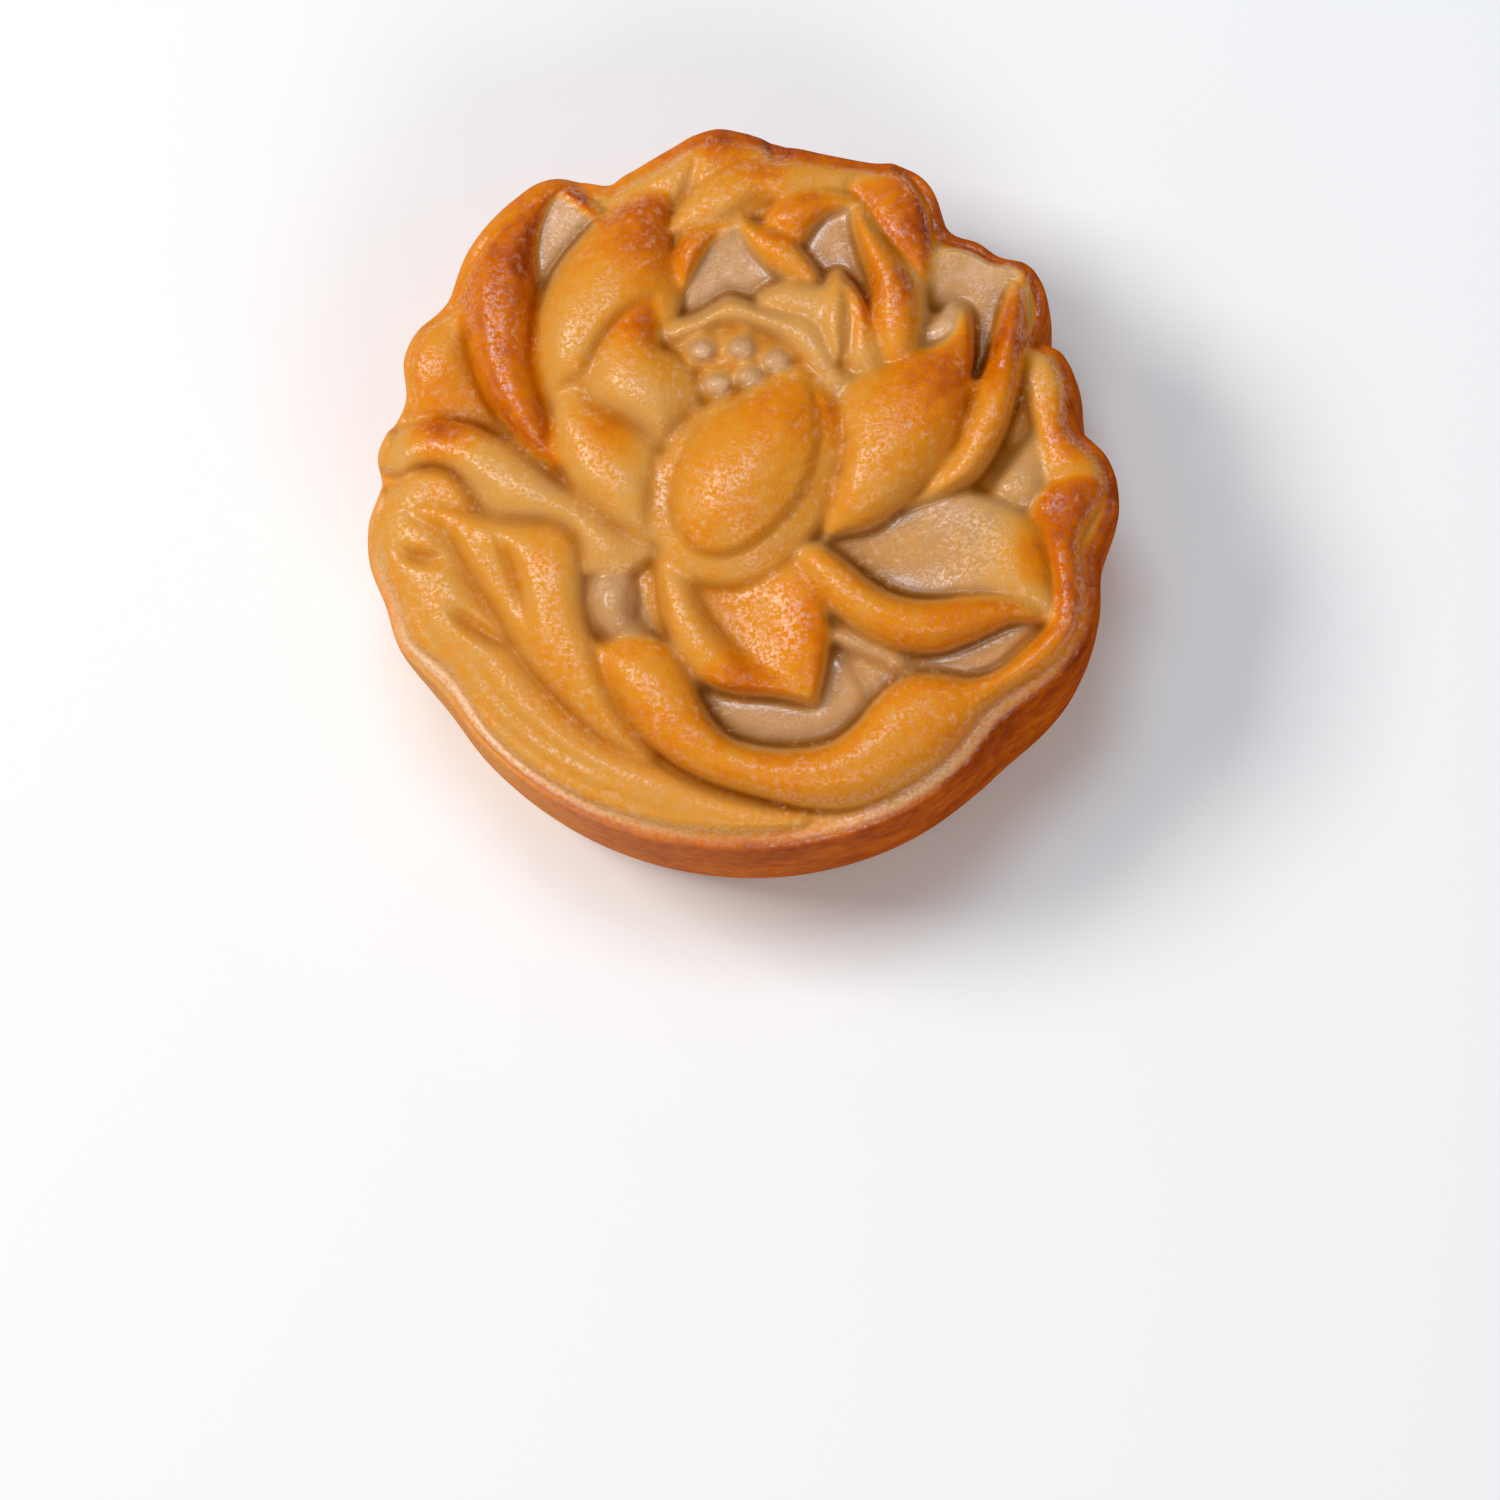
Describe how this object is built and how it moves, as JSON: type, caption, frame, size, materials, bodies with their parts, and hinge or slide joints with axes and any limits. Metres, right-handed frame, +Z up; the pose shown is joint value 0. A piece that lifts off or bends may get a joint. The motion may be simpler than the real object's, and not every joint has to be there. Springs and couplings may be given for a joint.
{
  "type": "lotus seed mooncake",
  "caption": "Whole baked mooncake with a scalloped edge, a lotus flower and leaf in deep relief on its domed top, and a flat bottom to rest on.",
  "frame": {"origin": "middle of the flat bottom on which the cake rests, at the centre of the box round it", "axes": "+Z up out of the relief on the top, +Y towards the flower's upper petals, +X to the right of the relief as it is looked down on"},
  "size_m": [0.0752, 0.0738, 0.0382],
  "materials": {
    "golden_crust": "baked egg-washed crust, golden brown on the raised petals and pale khaki in the hollows, with a soft gloss"
  },
  "bodies": {
    "root": {"mooncake": "golden_crust"}
  },
  "joints": []
}
